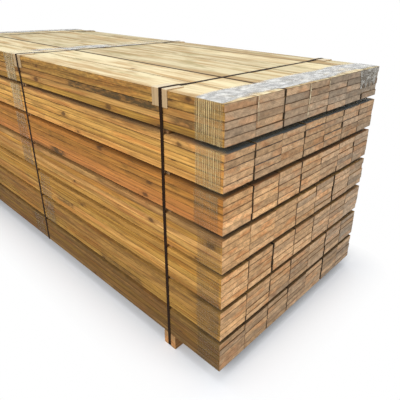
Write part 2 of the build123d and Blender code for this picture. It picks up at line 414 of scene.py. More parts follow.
def boxes_in(node):
    """Lowest and highest corner of each separate solid in a CAD node, from a copy of its mesh."""
    solid = bmesh.new()
    solid.from_mesh(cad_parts[node].data)
    bmesh.ops.remove_doubles(solid, verts=solid.verts, dist=1e-6)
    found, seen = [], set()
    for vert in solid.verts:
        if vert in seen:
            continue
        group, wave = [], [vert]
        seen.add(vert)
        while wave:
            here = wave.pop()
            group.append(here.co.copy())
            for edge in here.link_edges:
                other = edge.other_vert(here)
                if other not in seen:
                    seen.add(other)
                    wave.append(other)
        found.append((Vector([min(p[i] for p in group) for i in range(3)]),
                      Vector([max(p[i] for p in group) for i in range(3)])))
    solid.free()
    return found


def geometry_tree(name, *inputs):
    """An empty Geometry Nodes tree, what adds nodes to it, and what its named inputs give."""
    tree = bpy.data.node_groups.new(name, "GeometryNodeTree")
    kinds = {"Geometry": "Geometry", "Stations": "Int", "Strands": "Int", "Material": "Material"}
    for socket in ("Geometry",) + inputs:
        tree.interface.new_socket(socket, in_out="INPUT",
                                  socket_type="NodeSocket" + kinds.get(socket, "Float"))
    tree.interface.new_socket("Geometry", in_out="OUTPUT", socket_type="NodeSocketGeometry")
    add = partial(add_node, tree)
    return tree, add, add("NodeGroupInput").outputs

def sawn_boards_tree():
    """Geometry Nodes: lay one sawn board at each point, with its own size, bow and attributes."""
    tree, add, given = geometry_tree("sawn_boards", "Length", "Width", "Thickness", "Arris",
                                     "Turn", "Bow", "Crook", "Stations", "Seed", "Material")

    section = add("GeometryNodeFilletCurve",
                  sockets={"Curve": add("GeometryNodeCurvePrimitiveQuadrilateral", given["Width"],
                                        given["Thickness"]), "Radius": given["Arris"]})
    run = add("GeometryNodeCurvePrimitiveLine",
              add("CombineXYZ", add("Math MULTIPLY", given["Length"], -0.5)),
              add("CombineXYZ", add("Math MULTIPLY", given["Length"], 0.5)))
    run = add("GeometryNodeResampleCurve", sockets={"Curve": run, "Count": given["Stations"]})
    board = add("GeometryNodeCurveToMesh",
                sockets={"Curve": run, "Profile Curve": section, "Fill Caps": True})
    board = add("GeometryNodeStoreNamedAttribute FLOAT_VECTOR",
                sockets={"Geometry": board, "Name": "board_at",
                         "Value": add("GeometryNodeInputPosition")})
    lengthways = add("Math ABSOLUTE",
                     add("SeparateXYZ", add("GeometryNodeInputNormal")).outputs["X"])
    is_end = add("FunctionNodeCompare GREATER_THAN", data_type="FLOAT",
                 sockets={"A": lengthways, "B": 0.9})
    board = add("GeometryNodeStoreNamedAttribute FLOAT", domain="FACE",
                sockets={"Geometry": board, "Name": "sawn_end", "Value": is_end})
    board = add("GeometryNodeSetShadeSmooth", sockets={"Geometry": board, "Shade Smooth": False})
    laid = add("GeometryNodeInstanceOnPoints",
               sockets={"Points": given["Geometry"], "Instance": board,
                        "Rotation": add("CombineXYZ", sockets={"Z": given["Turn"]}),
                        "Scale": add("GeometryNodeInputNamedAttribute FLOAT_VECTOR",
                                     sockets={"Name": "board_share"})})
    real = add("GeometryNodeRealizeInstances", laid)
    # Bow and crook: a slow wave along each board, its own for every board
    at = add("GeometryNodeInputNamedAttribute FLOAT_VECTOR", sockets={"Name": "board_at"})
    dice = add("GeometryNodeInputNamedAttribute FLOAT_VECTOR", sockets={"Name": "board_random"})
    spot = add("VectorMath MULTIPLY_ADD", dice, (90.0, 90.0, 90.0),
               add("VectorMath MULTIPLY", at, (0.9, 0.0, 0.0)))
    wave = add("TexNoise 4D",
               sockets={"Vector": spot, "W": given["Seed"], "Scale": 1.0, "Detail": 1.0})
    centred = add("VectorMath ADD", wave.outputs["Color"], (-0.5, -0.5, -0.5))
    bend = add("VectorMath MULTIPLY", centred,
               add("CombineXYZ", None, given["Crook"], given["Bow"]))
    real = add("GeometryNodeSetPosition", sockets={"Geometry": real, "Offset": bend})
    add("NodeGroupOutput",
        add("GeometryNodeSetMaterial", sockets={"Geometry": real, "Material": given["Material"]}))
    return tree


def grow(name, base, tree, wall=None, **values):
    """Run a Geometry Nodes tree on a base mesh, give it a wall, and keep a plain mesh object."""
    worker = bpy.data.objects.new(name + "_base", base)
    bpy.context.scene.collection.objects.link(worker)
    modifier = worker.modifiers.new("grow", "NODES")
    modifier.node_group = tree
    for item in tree.interface.items_tree:
        if item.in_out == "INPUT" and item.name in values:
            modifier[item.identifier] = values[item.name]
    if wall:
        shell = worker.modifiers.new("wall", "SOLIDIFY")
        shell.thickness, shell.offset = wall, 1.0
    ready = worker.evaluated_get(bpy.context.evaluated_depsgraph_get())
    mesh = bpy.data.meshes.new_from_object(ready)
    worker.modifiers.clear()
    bpy.data.objects.remove(worker)
    mesh.name = name
    piece = bpy.data.objects.new(name, mesh)
    bpy.context.scene.collection.objects.link(piece)
    return piece


sawn_boards = sawn_boards_tree()


def lay_boards(name, places, **values):
    """Boards at places: a list of (centre, share of full size, the board's own attributes)."""
    base = bpy.data.meshes.new(name + "_places")
    base.from_pydata([centre for centre, _, _ in places], [], [])
    set_attribute(base, "board_share", "FLOAT_VECTOR", [share for _, share, _ in places])
    set_board_look(base, [own for _, _, own in places])
    return grow(name, base, sawn_boards, **values)


slat_pine = rough_sawn_pine("rough_sawn_treated_pine", early="#D8A656", late="#936329",
                            warm="#BF6E30", end_fresh="#E3B27C", end_grey="#A19381")

# Knots to be seen on the long side, as place along the slat, height and radius in metres
side_knots = [
    (0.196, 1.074, 0.007), (0.167, 1.012, 0.012), (0.754, 0.987, 0.012), (1.200, 1.094, 0.009),
    (1.150, 0.937, 0.010), (1.117, 0.874, 0.006), (0.388, 0.890, 0.011), (0.500, 0.832, 0.006),
    (0.658, 0.799, 0.011), (0.288, 0.743, 0.009), (0.979, 0.745, 0.010), (0.950, 0.687, 0.009),
    (0.979, 0.584, 0.010), (0.408, 0.566, 0.006), (0.362, 0.530, 0.008), (1.225, 0.529, 0.007),
    (1.296, 0.612, 0.012), (0.442, 0.449, 0.010), (0.342, 0.418, 0.007), (0.938, 0.367, 0.008),
    (1.221, 0.352, 0.008), (0.596, 0.222, 0.010), (1.133, 0.126, 0.007), (0.490, 0.080, 0.007),
]
# Stained lengths on the long side: from, to, height and strength
side_stains = [
    (0.45, 1.08, 1.040, 0.9), (1.10, 1.30, 1.015, 0.7), (0.20, 0.36, 0.680, 0.9),
    (0.18, 0.36, 0.400, 0.6), (0.55, 0.90, 0.225, 0.6), (0.90, 1.10, 0.100, 0.4),
]
# What sets the tiers apart, counted from the lowest: lightness of the sides and of the ends,
# redness, grey of the ends at either side, shade in the gap above, strength of the lines
# between layers, dark mottling, and the columns whose joint with the next one stands open
tier_look = {
    1: (0.43, 0.97, 0.10, (0.42, 0.72), 0.02, 0.8, 0.40, (2, 3, 5)),
    2: (0.72, 1.01, 0.06, (0.22, 0.78), 0.04, 0.8, 0.28, (1, 2, 3, 5)),
    3: (0.86, 1.05, 0.14, (0.10, 0.74), 0.12, 0.8, 0.12, (1, 2, 3, 4, 5)),
    4: (0.97, 1.03, 0.04, (0.06, 0.74), 0.12, 0.75, 0.10, (3, 4, 5)),
    5: (0.90, 1.04, 0.62, (0.10, 0.78), 0.18, 0.8, 0.16, (1, 2, 3, 6)),
    6: (1.20, 0.91, 0.02, (0.30, 0.62), 0.46, 0.8, 0.10, (1, 3, 5)),
    7: (0.78, 0.95, 0.02, (0.56, 1.00), 0.22, 1.0, 0.38, (2, 6)),
}
# Lightness of the pale top of each column's uppermost board, bleached and painted light
top_tone = (0.86, 0.87, 0.73, 0.78, 0.73, 0.86, 0.72)

slat_size = Vector((2692, 150, 26)) * MM
for tier, (value, end_value, red, grey, shade, lines, murk, joints) in tier_look.items():
    node = f"slats_tier_{tier}"
    boxes = sorted(boxes_in(node), key=lambda b: (round(b[0].z, 3), b[0].y))
    top_layer = max(b[0].z for b in boxes)
    places = []
    for index, (low, high) in enumerate(boxes):
        column = index % 7 + 1
        on_top = tier == 7 and low.z > top_layer - MM
        # Each edge is trimmed a little: more where the joint stands open, hardly where it is tight
        trim, edge_shade_dirt = [], []
        for joint in (column - 1, column):
            loose = joint in joints and (on_top or rng.random() < 0.85)
            trim.append((rng.uniform(0.6, 1.9) if loose else rng.uniform(-0.4, 0.2)) * MM)
            # Painted shade and dirt at the joint: more where it stands open
            edge_shade_dirt.append(rng.uniform(0.6, 1.0) if loose else rng.uniform(0.0, 0.35))
            if on_top:
                trim[-1] = (2.6 if loose else 0.0 if joint == 3 else -0.5) * MM
        low_y, high_y = low.y + trim[0], high.y - trim[1]
        if column in (1, 7):
            low_y, high_y = max(low_y, low.y + 0.8 * MM), min(high_y, high.y - 0.8 * MM)
        # Sawn a little under size, one in four by much more, which leaves a dark line above it
        thin = rng.uniform(0.02, 0.085) if rng.random() < 0.24 else rng.uniform(0.002, 0.014)
        # Cross-cut so that the ends stand nearly flush; the top tier's stand back a little
        recess = [1.2 * MM * abs(rng.gauss(0, 1)) + (3 * MM if rng.random() < 0.12 else 0.4 * MM)
                  + (2 * MM if tier == 7 else 0) for _ in range(2)]
        near_x, far_x = cad_box[1].x - recess[0], cad_box[0].x + recess[1]
        share = Vector(((near_x - far_x) / slat_size.x, (high_y - low_y) / slat_size.y, 1 - thin))
        centre = Vector(((near_x + far_x) / 2, (low_y + high_y) / 2,
                         low.z + slat_size.z * share.z / 2 + 0.2 * MM))
        grey_from, grey_to = grey
        greyness = rng.gauss(grey_from + (grey_to - grey_from) * (column - 1) / 6, 0.08)
        own = {
            "board_random": [rng.random() for _ in range(3)],
            "board_value": value * rng.uniform(0.84, 1.16),
            "end_value": end_value,
            "board_redness": min(1.0, max(0.0, rng.gauss(red, 0.10))),
            "end_greyness": min(1.0, max(0.0, greyness)),
            "board_stain": (-1.5, 1.5, murk * rng.uniform(0.3, 1.5)),
            "board_knot": no_knot,
            "board_open": (shade, {1: -1.0, 7: 1.0}.get(column, 0.0),
                           top_tone[column - 1] if on_top else 0.0),
            "board_edges": (edge_shade_dirt[0], edge_shade_dirt[1], min(1.0, lines * rng.uniform(0.25, 1.6)
                                                  + (0.3 if thin > 0.02 else 0.0))),
        }
        if column == 1:
            for x, z, size in side_knots:
                if low.z - 0.2 * MM <= z < high.z + 0.2 * MM:
                    own["board_knot"] = (x - centre.x, size, z - centre.z)
            for x_from, x_to, z, strength in side_stains:
                if low.z <= z < high.z:
                    own["board_stain"] = (x_from, x_to, strength)
        places.append((centre, share, own))
    slats = lay_boards(f"sawn_{node}", places, Length=slat_size.x, Width=slat_size.y,
                       Thickness=slat_size.z, Arris=1.1 * MM, Turn=0.0, Bow=1.0 * MM,
                       Crook=1.2 * MM, Stations=9, Seed=float(tier), Material=slat_pine)
    settle(slats, node)


# Stickers
# Thin battens of the same rough pine, laid across between the tiers under each strap, so that
# air gets through. They lie loose and end a little inside the faces of the bundle.

sticker_pine = rough_sawn_pine("rough_sawn_pine_sticker", early="#C49A62", late="#8E6337",
                               warm="#9A6A3C", end_fresh="#B48C5C", end_grey="#8C765C",
                               ring_mm=5.0)

for place in ("near", "middle", "far"):
    node = "stickers_" + place
    places = []
    for low, high in sorted(boxes_in(node), key=lambda b: b[0].z):
        full = high - low
        own = {"board_random": [rng.random() for _ in range(3)], "board_value": 0.8,
               "end_value": 0.9, "board_redness": 0.2 * rng.random(),
               "end_greyness": 0.4 + 0.4 * rng.random(),
               "board_stain": (-0.4, 0.4, 0.3), "board_knot": no_knot,
               "board_open": (0.5, 2.0, 0.0), "board_edges": (0.0, 0.0, 0.0)}
        places.append(((low + high) / 2, (1 - 0.01 * rng.random(), 0.985, 0.99), own))
    stickers = lay_boards("sawn_" + node, places, Length=full.y, Width=full.x,
                          Thickness=full.z, Arris=1.0 * MM, Turn=math.pi / 2, Bow=0.0, Crook=0.0,
                          Stations=5, Seed=0.0, Material=sticker_pine)
    settle(stickers, node)


# Film
# Clear polythene stretch film, wound by hand in narrow bands round each tier by itself. Wound
# tight, it gathers into fine cords along the winding, and on the open top it bags, crinkles and
# slips inwards from the end.

def winding(corners, radius, step, arc_points=3):
    """Points round a closed path, its corners rounded, each as (y, z, outward y, outward z)."""
    points = []
    count = len(corners)
    for i in range(count):
        last, here, following = (Vector(corners[(i + k) % count]) for k in (-1, 0, 1))
        before, after = (here - last).normalized(), (following - here).normalized()
        turn = before.angle(after)
        cut = radius * math.tan(turn / 2)
        start, finish = here - before * cut, here + after * cut
        out_before, out_after = Vector((before.y, -before.x)), Vector((after.y, -after.x))
        for k in range(arc_points + 1):
            share = k / arc_points
            at = start.lerp(here, share).lerp(here.lerp(finish, share), share)
            points.append((at, out_before.lerp(out_after, share).normalized()))
        beyond = Vector(corners[(i + 2) % count])
        next_cut = radius * math.tan(after.angle((beyond - following).normalized()) / 2)
        goal = following - after * next_cut
        pieces = max(1, round((goal - finish).length / step))
        points += [(finish.lerp(goal, k / pieces), out_after) for k in range(1, pieces)]
    return [(at.x, at.y, out.x, out.y) for at, out in points]


def loop_mesh(name, loops, drift=lambda y, z: 0.0):
    """Closed loops as edges in planes of constant x, with way_out, run_at and drift per point."""
    mesh = bpy.data.meshes.new(name)
    points, edges, outs, runs, drifts = [], [], [], [], []
    for x, path in loops:
        first, run = len(points), 0.0
        for i, (y, z, out_y, out_z) in enumerate(path):
            points.append((x, y, z))
            outs.append((0.0, out_y, out_z))
            runs.append(run)
            drifts.append(drift(y, z))
            following = path[(i + 1) % len(path)]
            run += math.hypot(following[0] - y, following[1] - z)
            edges.append((first + i, first + (i + 1) % len(path)))
    mesh.from_pydata(points, edges, [])
    set_attribute(mesh, "way_out", "FLOAT_VECTOR", outs)
    set_attribute(mesh, "run_at", "FLOAT", runs)
    set_attribute(mesh, "drift", "FLOAT", drifts)
    return mesh


def film_bands_tree():
    """Geometry Nodes: a pleated band of film along each closed loop."""
    tree, add, given = geometry_tree("film_bands", "Across", "Cord Pitch", "Cord Height",
                                     "Edge Wave", "Draw In", "Bagging", "Strands", "Seed",
                                     "Material")
    loop = add("GeometryNodeMeshToCurve", given["Geometry"])
    width = add("GeometryNodeCurvePrimitiveLine",
                add("CombineXYZ", add("Math MULTIPLY", given["Across"], -0.5)),
                add("CombineXYZ", add("Math MULTIPLY", given["Across"], 0.5)))
    width = add("GeometryNodeResampleCurve", sockets={"Curve": width, "Count": given["Strands"]})
    width = add("GeometryNodeStoreNamedAttribute FLOAT",
                sockets={"Geometry": width, "Name": "across_at",
                         "Value": add("GeometryNodeSplineParameter").outputs["Factor"]})
    band = add("GeometryNodeCurveToMesh", sockets={"Curve": loop, "Profile Curve": width})
    out = add("GeometryNodeInputNamedAttribute FLOAT_VECTOR", sockets={"Name": "way_out"})
    across = add("GeometryNodeInputNamedAttribute FLOAT", sockets={"Name": "across_at"})
    place = add("GeometryNodeInputPosition")
    parts = add("SeparateXYZ", place)
    noise = {}
    for key, stretch, detail in (("sway", (55.0, 3.0, 4.0), 2.0), ("patch", (25.0, 6.0, 9.0), 2.0),
                                 ("edge", (4.0, 7.0, 9.0), 2.0), ("bag", (12.0, 9.0, 9.0), 3.0)):
        noise[key] = add("TexNoise 4D",
                         sockets={"Vector": add("VectorMath MULTIPLY", place, stretch),
                                  "W": given["Seed"], "Scale": 1.0, "Detail": detail})
    # The cords: a phase that runs across the band, swaying a little round it
    turns = add("Math MULTIPLY", parts.outputs["X"],
                add("Math DIVIDE", 2 * math.pi, given["Cord Pitch"]))
    phase = add("Math MULTIPLY_ADD", noise["sway"], 9.0, turns)
    band = add("GeometryNodeStoreNamedAttribute FLOAT",
               sockets={"Geometry": band, "Name": "cord_phase", "Value": phase})
    cord = add("MapRange SMOOTHSTEP", add("Math SINE", phase), -0.1, 1.0, 0.0, 1.0)
    patchy = add("MapRange", noise["patch"], 0.35, 0.65, 0.25, 1.0)
    ridge = add("Math MULTIPLY", add("Math MULTIPLY", cord, patchy), given["Cord Height"])
    # Bagging and slip only where the film faces up
    upward = add("MapRange", add("SeparateXYZ", out).outputs["Z"], 0.5, 1.0)
    from_edge = add("MapRange SMOOTHSTEP", add("Math ABSOLUTE", parts.outputs["Y"]), 0.531, 0.45)
    upward = add("Math MULTIPLY", upward, from_edge)
    bag = add("Math MULTIPLY", add("MapRange", noise["bag"], 0.42, 0.75, 0.0, 1.0),
              add("Math MULTIPLY", given["Bagging"], upward))
    lift = add("VectorMath SCALE", sockets={0: out, "Scale": add("Math ADD", ridge, bag)})
    # The edges wander; the middle of the band stays
    swing = add("Math MULTIPLY", add("Math ADD", noise["edge"], -0.5), given["Edge Wave"])
    lean = add("Math MULTIPLY", add("Math ADD", across, -0.5), 2.0)
    spread = add("Math MULTIPLY", add("Math ABSOLUTE", given["Draw In"]),
                 add("Math MULTIPLY", lean, 0.5))
    slip = add("Math MULTIPLY_ADD", given["Draw In"], 0.7, spread)
    sideways = add("Math MULTIPLY_ADD", swing, add("Math ABSOLUTE", lean),
                   add("Math MULTIPLY", slip, upward))
    moved = add("VectorMath ADD", lift, add("CombineXYZ", sideways))
    band = add("GeometryNodeSetPosition", sockets={"Geometry": band, "Offset": moved})
    band = add("GeometryNodeSetShadeSmooth", sockets={"Geometry": band, "Shade Smooth": True})
    add("NodeGroupOutput",
        add("GeometryNodeSetMaterial",
            sockets={"Geometry": add("GeometryNodeRealizeInstances", band),
                     "Material": given["Material"]}))
    return tree


def stretch_film(name, baggy_alpha):
    """LLDPE film, blown and wound on tight: clear and glossy, with painted highlights along its
    pleats.

    High up the film mirrors the sky and low down the ground, so it is drawn paler on the upper
    tiers. It is clear plastic in two faces, so each face has less than the whole cover.
    """
    made, add, shader = new_material(name)
    place = add("TexCoord").outputs["Object"]
    parts = add("SeparateXYZ", place)
    upward = add("SeparateXYZ", add("NewGeometry").outputs["True Normal"]).outputs["Z"]
    across = add("Attribute", attribute_name="across_at").outputs["Fac"]
    noise = {}
    for key, stretch, detail, roughness in (
            ("broken", (80.0, 6.0, 22.0), 2.0, 0.5), ("crinkle", (40.0, 26.0, 26.0), 4.0, 0.7),
            ("folds", (14.0, 6.0, 6.0), 3.0, 0.6), ("smudge", (9.0, 5.0, 7.0), 2.0, 0.5),
            ("glint", (70.0, 16.0, 16.0), 3.0, 0.7)):
        spot = add("VectorMath MULTIPLY", place, stretch)
        noise[key] = add("TexNoise",
                         sockets={"Vector": spot, "Scale": 1.0, "Detail": detail,
                                  "Roughness": roughness})
    wave = add("Math SINE", add("Attribute", attribute_name="cord_phase").outputs["Fac"])
    broken = add("MapRange SMOOTHSTEP", noise["broken"], 0.36, 0.60, 0.45, 1.0)
    cord_highlight = add("Math MULTIPLY", add("MapRange SMOOTHSTEP", wave, 0.10, 0.95), broken)
    cord_shadow = add("Math MULTIPLY", add("MapRange SMOOTHSTEP", wave, -0.45, -0.97), broken)
    # Only the outermost top of the bundle lies open to the sky
    face_up_or_down = add("MapRange SMOOTHSTEP", add("Math ABSOLUTE", upward), 0.5, 0.9)
    topmost = add("MapRange SMOOTHSTEP", parts.outputs["Z"], 1.085, 1.10)
    on_top = add("Math MULTIPLY", face_up_or_down, topmost)
    height = add("MapRange SMOOTHSTEP", parts.outputs["Z"], 0.66, 0.90)

    # How much it covers: veil, cords and the shadow lines beside them; bags and folds on top
    veil = add("MapRange", height, 0.0, 1.0, 0.13, 0.30)
    veil = add("Math MULTIPLY", veil, add("MapRange", noise["smudge"], 0.35, 0.65, 0.5, 1.5))
    cover = add("Math MULTIPLY_ADD", cord_highlight, add("MapRange", height, 0.0, 1.0, 0.10, 0.50),
                veil)
    cover = add("Math MULTIPLY_ADD", cord_shadow, add("MapRange", height, 0.0, 1.0, 0.14, 0.32),
                cover)
    bare = add("Math MULTIPLY", face_up_or_down, add("Math SUBTRACT", 1.0, topmost))
    cover = add("Math MULTIPLY", cover, add("MapRange", bare, 0.0, 1.0, 1.0, 0.35))
    near_edge = add("Math MULTIPLY", across, add("Math SUBTRACT", 1.0, across))
    cover = add("Math MULTIPLY", cover, add("MapRange SMOOTHSTEP", near_edge, 0.0, 0.07, 0.3, 1.0))
    frayed = add("Math ADD", noise["folds"], add("MapRange", near_edge, 0.0, 0.14, -0.22, 0.02))
    # Beside the middle strap little of it is left on top
    left_there = add("MapRange SMOOTHSTEP", noise["smudge"], 0.44, 0.58, 0.10, 0.75)
    densest = add("Mix FLOAT", add("MapRange", add("Math ABSOLUTE", parts.outputs["X"]), 0.3, 0.5),
                  left_there, baggy_alpha)
    bagged = add("Math MULTIPLY", on_top,
                 add("MapRange SMOOTHSTEP", frayed, 0.30, 0.52, 0.12, densest))
    cover = add("Mix FLOAT", on_top, cover, bagged)
    cover = add("Clamp", cover, 0.0, 0.96)
    one_face = add("Math SUBTRACT", 1.0, add("Math POWER", add("Math SUBTRACT", 1.0, cover), 0.5))

    # Painted highlights on the cords and painted shadow lines beside them
    low_tone = add("Mix RGBA", cord_highlight, linear("#4C4E4A"), linear("#9C8C6C"))
    high_tone = add("Mix RGBA", cord_highlight, linear("#BFA470"), linear("#EFD79C"))
    tone = add("Mix RGBA", height, low_tone, high_tone)
    tone = add("Mix RGBA", add("Math MULTIPLY", cord_shadow, 0.85), tone, linear("#4A3822"))
    # Painted reflection of the sky on the film on top, crinkled, with painted glints
    sky = add("Mix RGBA", add("MapRange SMOOTHSTEP", noise["crinkle"], 0.42, 0.62),
              linear("#B7B7B5"), linear("#F0F0EC"))
    sky = add("Mix RGBA", add("MapRange SMOOTHSTEP", noise["glint"], 0.60, 0.70), sky,
              linear("#FAFBFC"))
    tone = add("Mix RGBA", on_top, tone, sky)
    relief = add("Math MULTIPLY_ADD", wave, add("Math MULTIPLY", height, 0.2),
                 add("Math MULTIPLY", noise["crinkle"], on_top))
    bump = add("Bump", sockets={"Height": relief, "Strength": 0.7, "Distance": 1.4 * MM})
    feed(shader, sockets={"Base Color": tone, "Alpha": one_face, "Roughness": 0.24, "IOR": 1.51,
                          "Specular IOR Level": 0.35, "Normal": bump})
    return made


def whitened_film(name, dark, light, cover):
    """Polythene film, torn and crumpled: whitened where it is creased, clear between."""
    made, add, shader = new_material(name)
    place = add("TexCoord").outputs["Object"]
    creases = add("TexNoise",
                  sockets={"Vector": add("VectorMath MULTIPLY", place, (30.0, 16.0, 60.0)),
                           "Scale": 1.0, "Detail": 3.0, "Roughness": 0.6})
    white = add("MapRange SMOOTHSTEP", creases, 0.40, 0.68)
    tone = add("Mix RGBA", white, linear(dark), linear(light))
    seen = add("MapRange", white, 0.0, 1.0, 0.55 * cover, cover)
    feed(shader, sockets={"Base Color": tone, "Alpha": seen, "Roughness": 0.3, "IOR": 1.51,
                          "Specular IOR Level": 0.35})
    return made


def torn_film():
    """What is left of an outer wrap on the top tier's end: torn strands and a crumpled flap."""
    face = cad_box[1].x - 2.2 * MM
    scraps = []
    for name, y, top, foot, width, taper, look in (
            ("strand_1", -0.376, 1.104, 1.006, 4, 0.4, torn_strands),
            ("strand_2", -0.071, 1.104, 0.977, 6, 0.7, torn_strands),
            ("strand_3", 0.070, 1.104, 1.072, 7, 0.6, torn_strands),
            ("flap", 0.430, 1.104, 1.034, 190, 0.8, crumpled_film)):
        across = max(3, round(width / 5))
        rows = max(8, round((top - foot) / (5 * MM)))
        rings = []
        for row in range(rows + 1):
            down = row / rows
            half = width * MM / 2 * (1 - (1 - taper) * down)
            sway = 2.2 * MM * math.sin(7.0 * down + 9.0 * y)
            front = []
            for i in range(across + 1):
                u = 2 * i / across - 1
                here = y + sway + u * half
                hem = 0.012 * math.sin(11.0 * u + 2.0) * down if width > 50 else 0.0
                crease = abs(math.sin(110.0 * here + 2.0 * math.sin(9.0 * down + 30.0 * here)))
                front.append((face + (0.5 + 1.4 * crease) * MM, here,
                              top + (foot - top) * down + hem))
            back = [(x - 0.2 * MM, at_y, z) for x, at_y, z in reversed(front)]
            rings.append(front + back)
        scrap = loft(name, rings)
        scrap.data.materials.append(look)
        scraps.append(scrap)
    return scraps


def merge(piece, scraps):
    """Take the scraps' faces and materials into the piece's own mesh."""
    whole = bmesh.new()
    whole.from_mesh(piece.data)
    for scrap in scraps:
        material = scrap.data.materials[0]
        if material.name not in piece.data.materials:
            piece.data.materials.append(material)
        index = piece.data.materials.find(material.name)
        before = len(whole.faces)
        whole.from_mesh(scrap.data)
        whole.faces.ensure_lookup_table()
        for face in whole.faces[before:]:
            face.material_index = index
        bpy.data.objects.remove(scrap)
    whole.to_mesh(piece.data)
    whole.free()


torn_strands = whitened_film("whitened_polythene_strands", "#C9B48C", "#EADBB8", cover=0.8)
crumpled_film = whitened_film("crumpled_polythene_film", "#857C6E", "#C8C5BC", cover=0.72)
film_bands = film_bands_tree()
clear_film = stretch_film("clear_polythene_stretch_film", baggy_alpha=0.84)
film_wall = 0.25 * MM
for number, place in enumerate(("near", "middle", "far")):
    node = "film_" + place
    loops, wound = [], 0.0
    for low, high in sorted(boxes_in(node), key=lambda b: b[0].z):
        inner_y, inner_low, inner_high = high.y - 0.5 * MM, low.z + 0.5 * MM, high.z - 0.5 * MM
        path = winding([(inner_y, inner_low), (inner_y, inner_high), (-inner_y, inner_high),
                        (-inner_y, inner_low)], radius=1.6 * MM, step=30 * MM)
        loops.append(((low.x + high.x) / 2, path))
        wound += 2 * (high.y - low.y) + 2 * (high.z - low.z)
        across = high.x - low.x
    film = grow("wound_" + node, loop_mesh(node + "_loops", loops), film_bands, wall=film_wall, **{
        "Across": across, "Cord Pitch": (16 if place == "middle" else 8) * MM,
        "Cord Height": 1.0 * MM,
        "Edge Wave": 8 * MM, "Draw In": {"near": -16, "middle": 30, "far": 16}[place] * MM,
        "Bagging": 1.6 * MM, "Strands": 46, "Seed": 3.0 + number, "Material": clear_film})
    if place == "near":
        merge(film, torn_film())
    settle(film, node)


# Edge protectors
# Short angles of laminated kraft board, folded over both top edges under each strap so that it
# doesn't cut in. The strap's tension holds them, and presses a hollow in them.

def kraft_board():
    """Kraft board, glued in plies and pressed to an angle: matt, faint ply lines and scuffs."""
    made, add, shader = new_material("laminated_kraft_board")
    place = add("TexCoord").outputs["Object"]
    creases = add("TexNoise",
                  sockets={"Vector": add("VectorMath MULTIPLY", place, (110.0, 6.0, 6.0)),
                           "Scale": 1.0, "Detail": 2.0})
    scuffs = add("TexNoise",
                 sockets={"Vector": place, "Scale": 55.0, "Detail": 4.0, "Roughness": 0.65})
    shade = add("Mix RGBA", add("MapRange", creases, 0.35, 0.65), linear("#BDA078"),
                linear("#AC8F68"))
    worn = add("Mix RGBA", add("MapRange", scuffs, 0.55, 0.8, 0.0, 0.5), shade, linear("#94795A"))
    facing = add("SeparateXYZ", add("NewGeometry").outputs["Normal"])
    # Upward faces are drawn paler
    paler_upward = add("MapRange", facing.outputs["Z"], 0.3, 0.9, 0.0, 0.75)
    worn = add("Mix RGBA", paler_upward, worn, linear("#D6CAAE"))
    bump = add("Bump", sockets={"Height": scuffs, "Strength": 0.35, "Distance": 0.5 * MM})
    feed(shader, sockets={"Base Color": worn, "Roughness": 0.85, "Specular IOR Level": 0.3,
                          "Normal": bump})
    return made


kraft = kraft_board()
board_thick, board_bend = 3 * MM, 2.5 * MM
for place in ("near", "middle", "far"):
    for hand, side_sign in (("left", -1), ("right", 1)):
        node = f"edge_protector_{place}_{hand}"
        low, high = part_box(node)
        heel = low.y if side_sign < 0 else high.y
        toe = high.y if side_sign < 0 else low.y
        middle_x = (low.x + high.x) / 2
        # Outline from the foot of the side leg, round the fold, to the end of the top leg
        outer = [(heel, low.z + (high.z - low.z - board_bend) * i / 6, side_sign, 0.0)
                 for i in range(7)]
        outer += [(heel - side_sign * board_bend * (1 - math.cos(a)),
                   high.z - board_bend + board_bend * math.sin(a),
                   side_sign * math.cos(a), math.sin(a))
                  for a in (math.pi / 8, math.pi / 4, 3 * math.pi / 8)]
        top_start = heel - side_sign * board_bend
        outer += [(top_start + (toe - top_start) * i / 6, high.z, 0.0, 1.0) for i in range(7)]
        rings = []
        for step in range(25):
            across = step / 12 - 1
            x = middle_x + across * (high.x - low.x) / 2
            pressed = math.exp(-((x - middle_x) / (10 * MM)) ** 2) * 0.25 * MM
            ring_out, ring_in = [], []
            for index, (y, z, ny, nz) in enumerate(outer):
                t = index / (len(outer) - 1)
                flare = 0.5 * MM * abs(math.sin(across * 5.0 + t * 7.0 + side_sign))
                sunk = pressed + flare * abs(t - 0.5) * 1.2
                ragged_end = 0.4 * MM * math.sin(9 * t + side_sign) if abs(across) > 0.99 else 0.0
                x_here = x - math.copysign(abs(ragged_end), across)
                ring_out.append((x_here, y - ny * sunk, z - nz * sunk))
                ring_in.append((x_here, y - ny * board_thick, z - nz * board_thick))
            rings.append(ring_out + list(reversed(ring_in)))
        angle = loft("folded_" + node, rings)
        angle.data.materials.append(kraft)
        for polygon in angle.data.polygons:
            polygon.use_smooth = True
        angle.data.set_sharp_from_angle(angle=math.radians(35))
        settle(angle, node)


# Straps
# Flat black polyester strapping, 16 mm wide, rolled with a fine waffle and pulled tight round the
# whole bundle: over the protectors, down the sides and through the bearers' grooves.

